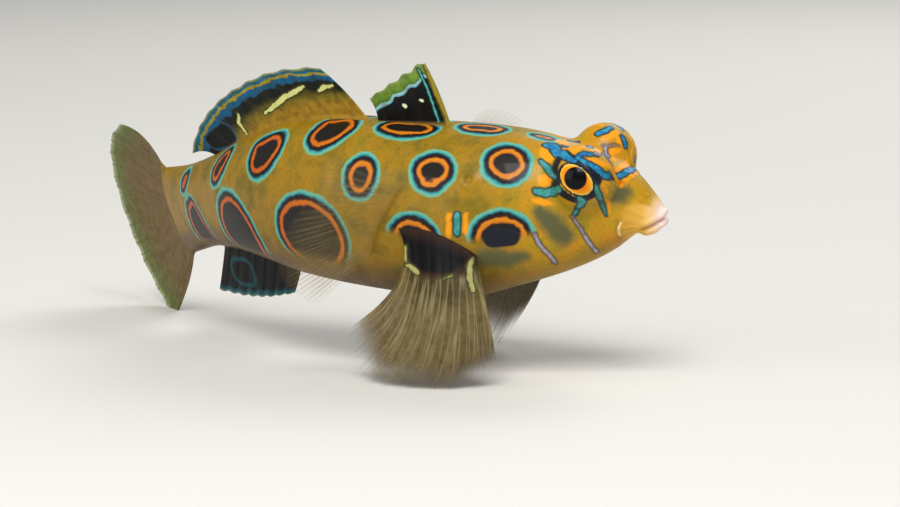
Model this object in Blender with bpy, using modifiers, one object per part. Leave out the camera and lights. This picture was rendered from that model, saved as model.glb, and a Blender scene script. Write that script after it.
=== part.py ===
"""Spotted mandarinfish, a still life-size model that stands on its pelvic fins and tail fin.

Metres, +Z up, +X from the trunk towards the snout, +Y towards the fish's left side.
The origin is on the floor, below the middle of the model's box.
"""

from math import cos, pi, radians, sin

import bmesh
import bpy
import numpy as np
from mathutils import Vector

MM = 0.001
FISH = "spotted_mandarinfish"

# Driving dimensions: lengths along the fish are measured back from the lips
STANDARD_LENGTH = 55.5 * MM
TAIL_FIN_LENGTH = 14.5 * MM
SNOUT = Vector((30.8, -4.44, 13.3)) * MM
ROLL = radians(13.5)
GAP = 0.3 * MM

# The body bends to its left behind the head, and the tail twists and droops to the floor
BEND = radians(40)
BEND_FROM, BEND_TO = 12 * MM, 50 * MM
DROOP = radians(11.5)
DROOP_FROM, DROOP_TO = 26 * MM, 50 * MM
TAIL_TWIST = radians(3)
SPINE_STEP = 0.25 * MM

# Where thin cuts part the body: the cut behind the jaws leans, so that it starts close
# behind the upper lip and ends at the chin
JAWS_END = 2.1 * MM
JAWS_LEAN = 1.3 * MM
HEAD_END = 18.0 * MM
TORSO_END = 33.0 * MM

# Distance from the lips, then height above and depth below the spine line, half width
# and the level of the widest line, all in millimetres
SECTIONS = (
    (0.0, 0.75, 0.75, 0.9, 0.0),
    (0.35, 1.35, 1.2, 1.5, 0.0),
    (0.9, 2.1, 1.35, 1.8, 0.1),
    (1.7, 3.2, 1.15, 2.1, 0.2),
    (2.6, 4.0, 1.7, 2.5, 0.3),
    (3.6, 4.6, 2.5, 3.0, 0.2),
    (5.6, 5.35, 3.6, 4.0, -0.1),
    (8.4, 6.15, 4.7, 5.2, -0.6),
    (12.0, 6.75, 5.8, 6.3, -1.0),
    (15.6, 7.0, 6.8, 6.8, -1.2),
    (20.0, 7.1, 7.0, 6.5, -0.8),
    (26.0, 7.2, 6.8, 5.9, -0.3),
    (32.0, 6.7, 6.4, 5.0, 0.0),
    (38.0, 5.4, 5.4, 3.9, 0.0),
    (44.0, 4.1, 4.4, 2.8, 0.0),
    (50.0, 3.7, 3.8, 1.9, 0.0),
    (55.5, 4.0, 4.0, 0.9, 0.0),
)
TOP_ROUNDNESS = 2.1
BELLY_ROUNDNESS = 2.5

# Eyes
EYE_ALONG = 5.5 * MM
EYE_SIDE = 2.75 * MM
EYE_UP = 4.1 * MM
EYE_RADIUS = 1.9 * MM
EYE_OUT = 0.85 * MM
DOME_RADIUS = 2.6 * MM
DOME_BLEND = 0.8 * MM

# Small pits in the head: distance from the lips, degrees round from the back, radius
NOSTRIL = (2.6 * MM, 38, 0.28 * MM)
GILL_PORE = (14.3 * MM, 48, 0.45 * MM)

# Fin walls
RAY_THICK = 0.85 * MM
WEB_SHARE = 0.62
TIP_SHARE = 0.6


def smooth_step(value):
    """0 below 0, 1 above 1, and a smooth rise between."""
    t = min(max(value, 0.0), 1.0)
    return t * t * (3 - 2 * t)


def spine_table():
    """Points along the spine, walked back from the lips in short steps."""
    points = [SNOUT.copy()]
    count = int((STANDARD_LENGTH + TAIL_FIN_LENGTH) / SPINE_STEP) + 2
    for step in range(count):
        forward = heading((step + 0.5) * SPINE_STEP)
        points.append(points[-1] - forward * SPINE_STEP)
    return points


def heading(along):
    """The way the body faces, this far back from the lips."""
    turn = BEND * smooth_step((along - BEND_FROM) / (BEND_TO - BEND_FROM))
    dip = DROOP * smooth_step((along - DROOP_FROM) / (DROOP_TO - DROOP_FROM))
    return Vector((cos(turn) * cos(dip), -sin(turn) * cos(dip), sin(dip)))


SPINE = spine_table()


def frame_at(along):
    """The spine point and the body's left and up directions, rolled to its right."""
    place = min(max(along / SPINE_STEP, 0.0), len(SPINE) - 1.001)
    index = int(place)
    point = SPINE[index].lerp(SPINE[index + 1], place - index)
    forward = heading(along)
    left = Vector((0, 0, 1)).cross(forward).normalized()
    up = forward.cross(left)
    roll = ROLL + TAIL_TWIST * smooth_step((along - DROOP_FROM) / (DROOP_TO - DROOP_FROM))
    return point, left * cos(roll) + up * sin(roll), up * cos(roll) - left * sin(roll)


def body_point(along, side, up):
    """A point given by its distance from the lips, to the left and above the spine."""
    point, left_way, up_way = frame_at(along)
    return point + left_way * side + up_way * up


def hermite(position, stations, values):
    """A smooth curve through a station table, with no overshoot between stations."""
    slopes = np.diff(values) / np.diff(stations)
    joined = np.where(slopes[1:] * slopes[:-1] > 0, 2 * slopes[1:] * slopes[:-1], 0)
    inner = joined / np.where(joined == 0, 1, slopes[1:] + slopes[:-1])
    tangents = np.concatenate([slopes[:1], inner, slopes[-1:]])
    index = min(max(int(np.searchsorted(stations, position)) - 1, 0), len(slopes) - 1)
    span = stations[index + 1] - stations[index]
    t = min(max((position - stations[index]) / span, 0.0), 1.0)
    rise = values[index + 1] - values[index]
    start, end = tangents[index] * span, tangents[index + 1] * span
    return values[index] + t * (start + t * (3 * rise - 2 * start - end + t * (start + end - 2 * rise)))


STATIONS = np.array([row[0] for row in SECTIONS]) * MM
PROFILE = np.array([row[1:] for row in SECTIONS]).T * MM


def section(along):
    """Height, depth, half width and widest level of the body this far from the lips."""
    return [hermite(along, STATIONS, values) for values in PROFILE]


def eye_centre(side):
    """The middle of the dome that carries an eye. side is 1 on the left and -1 on the right."""
    return body_point(EYE_ALONG, EYE_SIDE * side, EYE_UP)


def eye_way(side):
    """The direction that an eye looks in: out, a little forward and a little up."""
    point, left_way, up_way = frame_at(EYE_ALONG)
    return (left_way * side + up_way * 0.32 + heading(EYE_ALONG) * 0.22).normalized()


def soft_less(first, second, blend):
    """The lesser of two distances, rounded off where they are nearly equal."""
    near = max(blend - abs(first - second), 0.0) / blend
    return min(first, second) - near * near * blend / 4


def skin_point(along, angle):
    """A point of the body's surface. The angle runs from 0 on the back to +90 degrees on the left."""
    height, depth, width, level = section(along)
    roundness = 2 / (TOP_ROUNDNESS if cos(angle) > 0 else BELLY_ROUNDNESS)
    side = width * abs(sin(angle)) ** roundness * (1 if sin(angle) > 0 else -1)
    reach = height - level if cos(angle) > 0 else depth + level
    up = level + reach * abs(cos(angle)) ** roundness * (1 if cos(angle) > 0 else -1)
    middle, rim = body_point(along, 0, level), body_point(along, side, up)
    flat_radius = (rim - middle).length
    if abs(along - EYE_ALONG) > DOME_RADIUS + DOME_BLEND or cos(angle) < 0:
        return rim
    # Walks in from outside until it meets the body or the dome round an eye
    outward = (rim - middle) / flat_radius
    centre = eye_centre(1 if angle > 0 else -1)
    radius = flat_radius + 6 * MM
    for step in range(40):
        dome = (middle + outward * radius - centre).length - DOME_RADIUS
        radius -= 0.8 * soft_less(radius - flat_radius, dome, DOME_BLEND)
    return middle + outward * radius


def skin_normal(along, angle):
    """The outward direction of the surface there."""
    nudge_along, nudge_angle = 0.2 * MM, radians(2)
    back = skin_point(along + nudge_along, angle) - skin_point(along - nudge_along, angle)
    round_way = skin_point(along, angle + nudge_angle) - skin_point(along, angle - nudge_angle)
    return round_way.cross(back).normalized()


def material(name, colour, roughness):
    """A plain Principled finish."""
    finish = bpy.data.materials.new(name)
    finish.use_nodes = True
    shader = finish.node_tree.nodes["Principled BSDF"]
    shader.inputs["Base Color"].default_value = (*colour, 1)
    shader.inputs["Roughness"].default_value = roughness
    return finish


def add_object(name, mesh, finish, collection):
    """A shaded-smooth object of that mesh, hung on the fish's empty."""
    obj = bpy.data.objects.new(name, mesh)
    mesh.materials.append(finish)
    mesh.shade_smooth()
    mesh.set_sharp_from_angle(angle=radians(50))
    collection.objects.link(obj)
    obj.parent = bpy.data.objects[FISH]
    return obj


def finished_mesh(bm, name):
    """Turns a bmesh into mesh data."""
    mesh = bpy.data.meshes.new(name)
    bm.to_mesh(mesh)
    bm.free()
    return mesh


def jaws_end(angle):
    """Where the cut behind the jaws lies at an angle round the snout."""
    return JAWS_END - JAWS_LEAN * cos(angle)


def level_at(along):
    """A cut straight across the body."""
    return lambda angle: along


def body_length(name, start, end, sides, rings):
    """A closed length of the body: a cylinder cut into rings, then laid on the body's surface.

    start and end give the two cuts, as distances from the lips at each angle round.
    """
    bm = bmesh.new()
    bmesh.ops.create_cone(bm, cap_ends=True, cap_tris=True, segments=sides, radius1=1, radius2=1, depth=1)
    for ring in range(1, rings):
        everything = bm.verts[:] + bm.edges[:] + bm.faces[:]
        level = ring / rings - 0.5
        bmesh.ops.bisect_plane(bm, geom=everything, plane_co=(0, 0, level), plane_no=(0, 0, 1))
    for vert in bm.verts:
        radius = vert.co.xy.length
        angle = np.arctan2(vert.co.x, vert.co.y) if radius > 0.5 else pi / 2
        along = start(angle) + (end(angle) - start(angle)) * (vert.co.z + 0.5)
        rim = skin_point(along, angle)
        centre = body_point(along, 0, section(along)[3])
        vert.co = centre.lerp(rim, min(radius, 1.0))
    bmesh.ops.recalc_face_normals(bm, faces=bm.faces)
    return finished_mesh(bm, name)


def ball_mesh(name, radius, segments, rings):
    """A closed ball about the origin."""
    bm = bmesh.new()
    bmesh.ops.create_uvsphere(bm, u_segments=segments, v_segments=rings, radius=radius)
    return finished_mesh(bm, name)


def cut(obj, cutter):
    """Cuts a cutter out of an object."""
    modifier = obj.modifiers.new("cut_" + cutter.name, "BOOLEAN")
    modifier.operation = "DIFFERENCE"
    modifier.solver = "EXACT"
    modifier.object = cutter


def add_cutter(name, mesh, place, collection):
    """A hidden helper that cuts."""
    cutter = bpy.data.objects.new(name, mesh)
    cutter.location = place
    cutter.hide_render = True
    cutter.display_type = "WIRE"
    collection.objects.link(cutter)
    return cutter


def fin_mesh(name, root, tip, bow, rays, rows, scallop):
    """The middle sheet of a fin: a grid from its root line to its margin, ray by ray.

    root, tip and bow give a point for each share of the way from the first ray to the last,
    and a ray runs from root to tip, bent towards bow. Every second column is a ray.
    """
    columns = 2 * rays - 1
    bm = bmesh.new()
    bmesh.ops.create_grid(bm, x_segments=columns - 1, y_segments=rows, size=0.5)
    weights = {}
    for vert in bm.verts:
        across, out = vert.co.x + 0.5, vert.co.y + 0.5
        column = round(across * (columns - 1))
        web = column % 2 == 1
        reach = out * (1 - scallop if web else 1)
        start, end, bend = root(across), tip(across), bow(across)
        middle = (start + end) / 2 + bend
        vert.co = start * (1 - reach) ** 2 + middle * 2 * reach * (1 - reach) + end * reach**2
        weights[vert.index] = (WEB_SHARE if web else 1) * (1 - (1 - TIP_SHARE) * out)
    bmesh.ops.triangulate(bm, faces=bm.faces)
    return finished_mesh(bm, name), weights


def add_fin(name, shape, finish, collection):
    """A fin given its wall: thick at the rays and the root, thin at the webs and the margin."""
    mesh, weights = shape
    obj = add_object(name, mesh, finish, collection)
    group = obj.vertex_groups.new(name="wall")
    for index, weight in weights.items():
        group.add([index], weight, "REPLACE")
    wall = obj.modifiers.new("wall", "SOLIDIFY")
    wall.thickness = RAY_THICK
    wall.offset = 0
    wall.vertex_group = "wall"
    wall.use_even_offset = False
    return obj


def along_line(start, end):
    """A straight run between two numbers, for each share of the way."""
    return lambda share: start + (end - start) * share


def first_dorsal():
    """The short spiny fin over the shoulders, highest at its first spine."""
    base = along_line(17.5 * MM, 24.0 * MM)
    lift = GAP + 0.1 * MM

    def root(share):
        return body_point(base(share), 0, section(base(share))[0] + lift)

    def tip(share):
        high = (5.7 - 3.6 * share) * MM
        back = (1.55 - 1.35 * share) * MM
        return body_point(base(share) + back, -0.6 * MM, section(base(share))[0] + high)

    def bow(share):
        return Vector((0.3, 0, 0.2)) * MM

    return fin_mesh("first_dorsal", root, tip, bow, rays=4, rows=6, scallop=0.04)


def second_dorsal():
    """The long soft fin, half folded, so that its rays sweep back."""
    base = along_line(24.8 * MM, 44.2 * MM)
    lift = GAP + 0.1 * MM

    def root(share):
        return body_point(base(share), 0, section(base(share))[0] + lift)

    def tip(share):
        high = (4.6 + 0.9 * share - 3.4 * share**2 - 14.0 * max(share - 0.7, 0.0) ** 2) * MM
        back = (3.8 + 0.8 * share - 2.4 * share**2) * MM
        lean = (0.6 + 0.6 * share**2) * MM
        return body_point(base(share) + back, -lean, section(base(share) + back)[0] + high)

    def bow(share):
        return Vector((0, 0, 0.7)) * MM

    return fin_mesh("second_dorsal", root, tip, bow, rays=9, rows=7, scallop=0.05)


def anal():
    """The fin below the tail, swept back like the one above it."""
    base = along_line(35.5 * MM, 48.5 * MM)
    lift = GAP + 0.1 * MM

    def root(share):
        return body_point(base(share), 0, -section(base(share))[1] - lift)

    def tip(share):
        deep = (3.0 + 0.8 * sin(pi * share) + 0.9 * share) * MM
        back = (3.2 + 1.6 * share) * MM
        return body_point(base(share) + back, 0, -section(base(share))[1] - deep)

    def bow(share):
        return Vector((0, 0, -0.5)) * MM

    return fin_mesh("anal", root, tip, bow, rays=8, rows=6, scallop=0.05)


def caudal():
    """The tail fin: a fan with a rounded edge, its lower corner on the floor.

    Its margin bends to the left in the middle and curls back to the right at both corners.
    """
    start = STANDARD_LENGTH + GAP
    centre, left_way, up_way = frame_at(start)
    backward = -heading(start)
    base_half = 3.6 * MM
    spread = radians(92)
    upper_lean = radians(62)

    def root(share):
        return centre + up_way * base_half * (1 - 2 * share)

    def tip(share):
        lean = upper_lean - (upper_lean + spread / 2) * share
        height = lean / spread
        length = TAIL_FIN_LENGTH * (0.82 + 0.14 * cos(lean * 2) + 0.08 * height)
        length *= 1 - 1.6 * min(max(height, 0.0), 0.5) ** 3 - 0.5 * max(height - 0.5, 0.0)
        hub = centre - backward * 1.5 * MM
        curl = (1.1 - 6.0 * (height - 0.06) ** 2) * MM
        return hub + (backward * cos(lean) + up_way * sin(lean)) * (length + 1.5 * MM) + left_way * curl

    def bow(share):
        return (left_way * 0.9 + up_way * 25.0 * max(0.25 - share, 0.0) ** 2) * MM

    return fin_mesh("caudal", root, tip, bow, rays=12, rows=9, scallop=0.03)


def pectoral(side):
    """The clear fan behind the gills, spread out from the flank."""
    base_along = along_line(19.4 * MM, 22.4 * MM)
    base_angle = along_line(radians(56), radians(100))

    def root(share):
        along, angle = base_along(share), base_angle(share) * side
        return skin_point(along, angle) + skin_normal(along, angle) * (GAP + RAY_THICK / 2)

    def tip(share):
        if side < 0:
            back = 19.5 + 4.5 * share + 3.9 * sin(pi * share)
            out = 15.5 - 3.5 * share
            up = 9.3 - 13.9 * share - 2.6 * sin(pi * share)
        else:
            back = 16.6 + 14.0 * share - 4.6 * share**2
            out = 14.5 - 1.5 * share
            up = 1.9 + 10.0 * share - 14.4 * share**2
        return body_point(back * MM, out * side * MM, up * MM)

    def bow(share):
        return Vector((0, side * 0.8, 0)) * MM

    return fin_mesh("pectoral", root, tip, bow, rays=15, rows=8, scallop=0.02)


def pelvic(side):
    """The broad fan under the throat that props the fish, with its ray tips on the floor."""
    base_along = along_line(13.7 * MM, 20.0 * MM)
    bow_front, bow_rear = (2.4, 2.4) if side > 0 else (1.0, 6.4)

    def base_angle(share):
        return radians(92 - 10 * share - 6 * sin(pi * share))

    def root(share):
        along, angle = base_along(share), base_angle(share) * side
        return skin_point(along, angle) + skin_normal(along, angle) * (GAP + RAY_THICK / 2)

    def tip(share):
        along = (11.0 + 12.2 * share + (5.5 if side > 0 else 0)) * MM
        out = (8.5 + 3.0 * sin(pi * share)) * MM
        place = body_point(along, out * side, 0)
        place.z = (-0.25 + 9.0 * max(0.25 - share, 0.0) + 20.0 * max(share - 0.8, 0.0)) * MM
        return place

    def bow(share):
        along, angle = base_along(share), base_angle(share) * side
        out_way = skin_normal(along, angle) * (5.0 if side > 0 else 3.0)
        return (out_way + Vector((bow_front + (bow_rear - bow_front) * share, 0, 1.0))) * MM

    return fin_mesh("pelvic", root, tip, bow, rays=12, rows=9, scallop=0.03)


def jaw(name, below):
    """Half of the lips and mouth tube, above or below the line of the mouth."""
    mesh = body_length(name, level_at(0), lambda angle: jaws_end(angle) - GAP, sides=24, rings=8)
    bm = bmesh.new()
    bm.from_mesh(mesh)
    point, left_way, up_way = frame_at(0)
    way = -1 if below else 1
    across = (up_way - heading(0) * 0.2).normalized() * way
    plane = point + across * GAP / 2 - up_way * 0.15 * MM
    everything = bm.verts[:] + bm.edges[:] + bm.faces[:]
    bmesh.ops.bisect_plane(bm, geom=everything, plane_co=plane, plane_no=-across, clear_outer=True)
    bmesh.ops.holes_fill(bm, edges=bm.edges, sides=0)
    bmesh.ops.recalc_face_normals(bm, faces=bm.faces)
    bm.to_mesh(mesh)
    bm.free()
    return mesh


def clear_scene():
    for obj in list(bpy.data.objects):
        bpy.data.objects.remove(obj)


def main():
    clear_scene()
    parts = bpy.data.collections.new(FISH)
    cutters = bpy.data.collections.new("cutters")
    cutters.hide_render = True
    bpy.context.scene.collection.children.link(parts)
    bpy.context.scene.collection.children.link(cutters)
    parts.objects.link(bpy.data.objects.new(FISH, None))

    skin = material("skin", (0.42, 0.25, 0.04), 0.4)
    lips = material("lips", (0.75, 0.55, 0.28), 0.4)
    eye = material("eye", (0.02, 0.02, 0.03), 0.1)
    dark_fin = material("dark_fin", (0.05, 0.09, 0.08), 0.45)
    clear_fin = material("clear_fin", (0.42, 0.36, 0.18), 0.4)

    head = add_object("head", body_length("head", jaws_end, level_at(HEAD_END), 44, 28), skin, parts)
    torso = body_length("torso", level_at(HEAD_END + GAP), level_at(TORSO_END), 36, 11)
    tail = body_length("tail", level_at(TORSO_END + GAP), level_at(STANDARD_LENGTH), 32, 14)
    add_object("torso", torso, skin, parts)
    add_object("tail", tail, skin, parts)
    add_object("upper_jaw", jaw("upper_jaw", below=False), lips, parts)
    add_object("lower_jaw", jaw("lower_jaw", below=True), lips, parts)

    eye_mesh = ball_mesh("eye", EYE_RADIUS, 24, 14)
    socket_mesh = ball_mesh("socket", EYE_RADIUS + GAP, 28, 16)
    for side, word in ((1, "left"), (-1, "right")):
        place = eye_centre(side) + eye_way(side) * EYE_OUT
        ball = add_object("eye_" + word, eye_mesh.copy(), eye, parts)
        ball.location = place
        ball.rotation_mode = "QUATERNION"
        ball.rotation_quaternion = eye_way(side).to_track_quat("Z", "Y")
        cut(head, add_cutter("socket_" + word, socket_mesh, place, cutters))
        for pit, (along, degrees_round, radius) in (("nostril_", NOSTRIL), ("gill_pore_", GILL_PORE)):
            at = skin_point(along, radians(degrees_round) * side)
            cut(head, add_cutter(pit + word, ball_mesh(pit, radius, 10, 6), at, cutters))

    floor_block = bmesh.new()
    bmesh.ops.create_cube(floor_block, size=0.2)
    floor_mesh = finished_mesh(floor_block, "floor_block")
    floor = add_cutter("floor_block", floor_mesh, (0, 0, -0.1), cutters)

    add_fin("first_dorsal_fin", first_dorsal(), dark_fin, parts)
    add_fin("second_dorsal_fin", second_dorsal(), dark_fin, parts)
    add_fin("anal_fin", anal(), dark_fin, parts)
    cut(add_fin("caudal_fin", caudal(), clear_fin, parts), floor)
    for side, word in ((1, "left"), (-1, "right")):
        add_fin("pectoral_fin_" + word, pectoral(side), clear_fin, parts)
        cut(add_fin("pelvic_fin_" + word, pelvic(side), clear_fin, parts), floor)


main()
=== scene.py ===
# %% [markdown]
# A spotted mandarinfish, life size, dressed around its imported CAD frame.
#
# The fish is a small reef dragonet with wet, scaleless skin. Its body is one smooth form with
# ring spots, its eyes sit high on two domes, and its fins are thin fans of rays. This lesson
# builds the skin, the eyes and the fins, each over the CAD solids that hold its place.

from math import cos, pi, radians, sin, tau

import bmesh
import bpy
import numpy as np
from mathutils import Matrix, Vector


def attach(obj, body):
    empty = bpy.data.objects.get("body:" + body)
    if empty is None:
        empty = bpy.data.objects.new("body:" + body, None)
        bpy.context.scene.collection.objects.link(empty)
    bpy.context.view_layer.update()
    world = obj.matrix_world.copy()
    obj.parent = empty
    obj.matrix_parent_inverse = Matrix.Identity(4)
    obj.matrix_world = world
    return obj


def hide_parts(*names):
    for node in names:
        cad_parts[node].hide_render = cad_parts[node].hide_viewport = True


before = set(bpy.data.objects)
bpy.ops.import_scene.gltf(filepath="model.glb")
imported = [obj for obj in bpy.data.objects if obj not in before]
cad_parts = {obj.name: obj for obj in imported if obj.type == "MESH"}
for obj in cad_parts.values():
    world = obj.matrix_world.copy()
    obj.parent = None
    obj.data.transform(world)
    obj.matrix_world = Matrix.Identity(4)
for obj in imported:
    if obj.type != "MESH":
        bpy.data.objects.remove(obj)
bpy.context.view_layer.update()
print("frame of", len(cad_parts), "CAD nodes")

# %% [markdown]
# All sizes below are in millimetres, because a fish of seven centimetres is easiest to think of
# in them. Blender works in metres, so the last step of every shape multiplies by MM.

# %% Units and helpers
MM = 0.001
# The distance kept where no marking is near
FAR = 9.0
SIDES = ((1, "left"), (-1, "right"))


def rise(value, start, width):
    """0 up to start, 1 from start + width on, and smooth between."""
    t = np.clip((value - start) / width, 0, 1)
    return t * t * (3 - 2 * t)


def fall(value, start, width):
    """1 up to start, 0 from start + width on, and smooth between."""
    return 1 - rise(value, start, width)


def unit(vectors):
    """Vectors of length one."""
    return vectors / np.linalg.norm(vectors, axis=-1, keepdims=True)


def bump(value, width):
    """A smooth hump of height one around zero."""
    return np.exp(-((value / width) ** 2))


# %% [markdown]
# The body follows its spine. The fish bends to its left behind the gills, lets its tail droop
# to the floor and leans a little to its right. The spine is walked back from the lips in short
# steps, as a boat builder bends a batten, so lengths along it stay true. The CAD solids were
# built from the same numbers.

# %% The spine
STANDARD_LENGTH = 55.5
TAIL_FIN_LENGTH = 14.5
SNOUT = np.array([30.8, -4.44, 13.3])
ROLL = radians(13.5)
BEND = radians(40)
BEND_FROM, BEND_TO = 12.0, 50.0
DROOP = radians(11.5)
DROOP_FROM, DROOP_TO = 26.0, 50.0
TAIL_TWIST = radians(3)
SPINE_STEP = 0.25


def heading(along):
    """The way the body faces, this far back from the lips."""
    turn = BEND * rise(along, BEND_FROM, BEND_TO - BEND_FROM)
    dip = DROOP * rise(along, DROOP_FROM, DROOP_TO - DROOP_FROM)
    return np.stack([np.cos(turn) * np.cos(dip), -np.sin(turn) * np.cos(dip), np.sin(dip)], -1)


step_count = int((STANDARD_LENGTH + TAIL_FIN_LENGTH) / SPINE_STEP) + 2
step_ways = heading((np.arange(step_count) + 0.5) * SPINE_STEP)
spine = np.vstack([SNOUT, SNOUT - np.cumsum(step_ways * SPINE_STEP, axis=0)])
spine_marks = np.arange(len(spine)) * SPINE_STEP


def frame_at(along):
    """The spine point and the body's left and up directions there."""
    along = np.asarray(along, float)
    point = np.stack([np.interp(along, spine_marks, spine[:, axis]) for axis in range(3)], -1)
    forward = heading(along)
    left = unit(np.cross([0.0, 0.0, 1.0], forward))
    up = np.cross(forward, left)
    twist = TAIL_TWIST * rise(along, DROOP_FROM, DROOP_TO - DROOP_FROM)
    roll = (ROLL + twist)[..., None]
    return point, left * np.cos(roll) + up * np.sin(roll), up * np.cos(roll) - left * np.sin(roll)


def body_point(along, side, up):
    """A point given by its distance from the lips, to the left and above the spine."""
    point, left_way, up_way = frame_at(along)
    return point + left_way * np.asarray(side)[..., None] + up_way * np.asarray(up)[..., None]


print("spine of", len(spine), "points, tail end at", spine[-1].round(1))

# %% [markdown]
# Across the spine, each section of the body is a rounded oval. A table of stations gives its
# height, depth, width and widest level, and a smooth curve runs through them without overshoot.

# %% The body's sections
# Distance from the lips, then height, depth, half width and the level of the widest line
SECTIONS = (
    (0.0, 0.75, 0.75, 0.9, 0.0),
    (0.35, 1.35, 1.2, 1.5, 0.0),
    (0.9, 2.1, 1.35, 1.8, 0.1),
    (1.7, 3.2, 1.15, 2.1, 0.2),
    (2.6, 4.0, 1.7, 2.5, 0.3),
    (3.6, 4.6, 2.5, 3.0, 0.2),
    (5.6, 5.35, 3.6, 4.0, -0.1),
    (8.4, 6.15, 4.7, 5.2, -0.6),
    (12.0, 6.75, 5.8, 6.3, -1.0),
    (15.6, 7.0, 6.8, 6.8, -1.2),
    (20.0, 7.1, 7.0, 6.5, -0.8),
    (26.0, 7.2, 6.8, 5.9, -0.3),
    (32.0, 6.7, 6.4, 5.0, 0.0),
    (38.0, 5.4, 5.4, 3.9, 0.0),
    (44.0, 4.1, 4.4, 2.8, 0.0),
    (50.0, 3.7, 3.8, 1.9, 0.0),
    (55.5, 4.0, 4.0, 0.9, 0.0),
)
STATIONS, *MEASURES = np.transpose(SECTIONS)
TOP_ROUNDNESS = 2.1
BELLY_ROUNDNESS = 2.5


def through(position, stations, values):
    """A smooth curve through a station table, with no overshoot between stations."""
    slopes = np.diff(values) / np.diff(stations)
    product = slopes[1:] * slopes[:-1]
    total = np.where(product > 0, slopes[1:] + slopes[:-1], 1)
    inner = np.where(product > 0, 2 * product / total, 0)
    tangents = np.concatenate([slopes[:1], inner, slopes[-1:]])
    index = np.clip(np.searchsorted(stations, position) - 1, 0, len(slopes) - 1)
    span = stations[index + 1] - stations[index]
    t = np.clip((position - stations[index]) / span, 0, 1)
    rise = values[index + 1] - values[index]
    start, end = tangents[index] * span, tangents[index + 1] * span
    bend = 3 * rise - 2 * start - end
    return values[index] + t * (start + t * (bend + t * (start + end - 2 * rise)))


def section(along):
    """Height, depth, half width and widest level of the body there."""
    return [through(along, STATIONS, values) for values in MEASURES]


deepest = section(np.array([20.0]))
print("depth of the trunk in mm:", round(float(deepest[0][0] + deepest[1][0]), 1))

# %% [markdown]
# The eyes ride on two domes. Each is a ball melted softly into the head: the surface is found
# by walking in from outside until it is met, so dome and head flow into each other.

# %% The surface with its domes
EYE_ALONG, EYE_SIDE, EYE_UP = 5.5, 2.75, 4.1
EYE_RADIUS = 1.9
EYE_OUT = 0.85
EYE_LIFT, EYE_FORWARD = 0.32, 0.22
DOME_RADIUS = 2.6
DOME_BLEND = 0.8
SEARCH_FROM, SEARCH_STEPS, SEARCH_STRIDE = 6, 40, 0.8


def melt(first, second, blend):
    """The lesser of two distances, rounded off where they are nearly equal."""
    near = np.maximum(blend - np.abs(first - second), 0) / blend
    return np.minimum(first, second) - near**2 * blend / 4


def eye_centre(side):
    """The middle of the dome that carries an eye: side is 1 on the left, -1 on the right."""
    return body_point(EYE_ALONG, EYE_SIDE * side, EYE_UP)


def eye_way(side):
    """The direction that an eye looks in: out, a little forward and a little up."""
    left_way, up_way = frame_at(EYE_ALONG)[1:]
    ahead = heading(np.array(EYE_ALONG))
    return unit(left_way * side + up_way * EYE_LIFT + ahead * EYE_FORWARD)


def skin_point(along, angle):
    """A point of the body's surface: the angle is 0 on the back and positive on the left."""
    along, angle = np.broadcast_arrays(np.asarray(along, float), np.asarray(angle, float))
    height, depth, width, level = section(along)
    top = np.cos(angle) > 0
    power = 2 / np.where(top, TOP_ROUNDNESS, BELLY_ROUNDNESS)
    side = width * np.abs(np.sin(angle)) ** power * np.sign(np.sin(angle))
    reach = np.where(top, height - level, depth + level)
    up = level + reach * np.abs(np.cos(angle)) ** power * np.sign(np.cos(angle))
    middle, rim = body_point(along, 0 * along, level), body_point(along, side, up)
    flat_radius = np.linalg.norm(rim - middle, axis=-1)
    outward = (rim - middle) / flat_radius[..., None]
    centre = np.where((angle > 0)[..., None], eye_centre(1), eye_centre(-1))
    radius = flat_radius + SEARCH_FROM
    for _ in range(SEARCH_STEPS):
        dome = np.linalg.norm(middle + outward * radius[..., None] - centre, axis=-1) - DOME_RADIUS
        radius = radius - SEARCH_STRIDE * melt(radius - flat_radius, dome, DOME_BLEND)
    plain = (np.abs(along - EYE_ALONG) > DOME_RADIUS + DOME_BLEND) | ~top
    return middle + outward * np.where(plain, flat_radius, radius)[..., None]


def skin_normal(along, angle):
    """The outward direction of the surface there."""
    nudge, turn = 0.2, radians(2)
    back = skin_point(along + nudge, angle) - skin_point(along - nudge, angle)
    around = skin_point(along, angle + turn) - skin_point(along, angle - turn)
    return unit(np.cross(around, back))


dome_top = skin_point(EYE_ALONG, radians(30))
print("the dome of the left eye stands", round(float(dome_top[2]), 1), "mm above the floor")

# %% [markdown]
# Two helpers finish every shape. One writes numbers into a mesh as a named attribute, which a
# material can read and which stays with the surface when the fish is seen from any side. The
# other makes the object and hangs it on the CAD body, which for a still model is its one root.

# %% Helpers for meshes


def read_vectors(mesh, what):
    """The places (co) or the outward directions (normal) of the vertices."""
    flat = np.zeros(len(mesh.vertices) * 3)
    mesh.vertices.foreach_get(what, flat)
    return flat.reshape(-1, 3)


def read_points(mesh):
    """The vertices of a mesh in millimetres."""
    return read_vectors(mesh, "co") / MM


def read_values(mesh, name):
    """A named attribute as numbers, one for each vertex."""
    flat = np.zeros(len(mesh.vertices))
    mesh.attributes[name].data.foreach_get("value", flat)
    return flat


def write_values(mesh, name, values):
    """Keeps one number for each vertex under a name."""
    attribute = mesh.attributes.get(name) or mesh.attributes.new(name, "FLOAT", "POINT")
    attribute.data.foreach_set("value", np.asarray(values, np.float32))


def out_and_ray(mesh):
    """How far out on its fin each vertex lies, and how near it is to a ray."""
    return read_values(mesh, "out"), read_values(mesh, "near_ray")


def new_mesh(bm, name):
    """Turns a finished bmesh into mesh data."""
    mesh = bpy.data.meshes.new(name)
    bm.to_mesh(mesh)
    bm.free()
    return mesh


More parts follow.
